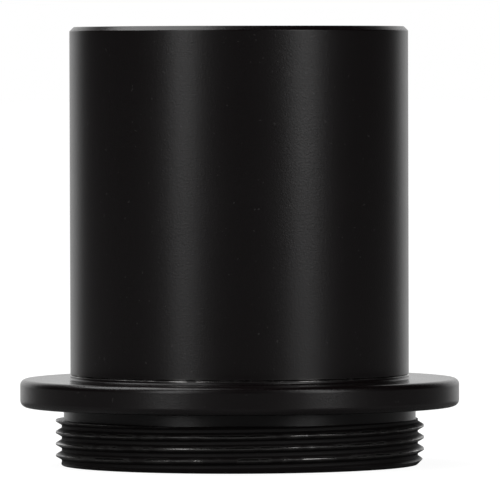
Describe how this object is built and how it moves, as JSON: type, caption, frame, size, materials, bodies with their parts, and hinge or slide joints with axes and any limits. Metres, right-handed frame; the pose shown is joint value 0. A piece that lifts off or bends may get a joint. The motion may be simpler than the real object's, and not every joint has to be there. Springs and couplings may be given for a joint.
{
  "type": "c-mount adapter",
  "caption": "Microscope camera adapter: a plain eyepiece tube above a flange and a male C-mount thread, with a reducing lens in a screw-adjusted cell inside the tube.",
  "frame": {"origin": "on the axis, at the camera-side end face of the male thread", "axes": "+Z along the axis, from the camera thread towards the microscope end of the tube; +X to the right and +Y away from the viewer of the picture"},
  "size_m": [0.03, 0.03, 0.03],
  "materials": {
    "satin_black_anodised": "satin black anodised, fine turned and blasted grain",
    "matte_black_anodised": "matte black anodised, fine turning marks",
    "blackened_brass": "chemically blackened, satin, worn at the slots",
    "crown_glass": "polished, with a faint anti-reflection coating",
    "flint_glass": "polished"
  },
  "bodies": {
    "housing": {"nosepiece_tube": "satin_black_anodised", "mount_flange": "satin_black_anodised", "field_stop": "matte_black_anodised"},
    "optic": {"crown_element": "crown_glass", "flint_element": "flint_glass", "rear_element": "crown_glass", "spacer_ring": "blackened_brass"},
    "cell": {"lens_cell": "matte_black_anodised", "lens_retaining_ring": "blackened_brass", "cell_lock_ring": "matte_black_anodised"}
  },
  "joints": [
    {"name": "cell_travel", "type": "slide", "parent": "housing", "child": "optic", "axis": [0, 0, 1], "range_m": [0, 0.0023]},
    {"name": "cell_turn", "type": "hinge", "parent": "optic", "child": "cell", "pos_m": [0, 0, 0.021], "axis": [0, 0, 1], "range_deg": [0, 1080]}
  ],
  "couplings": [
    {"joint": "cell_travel", "follows": "cell_turn", "m_per_rad": 0.00011937}
  ]
}
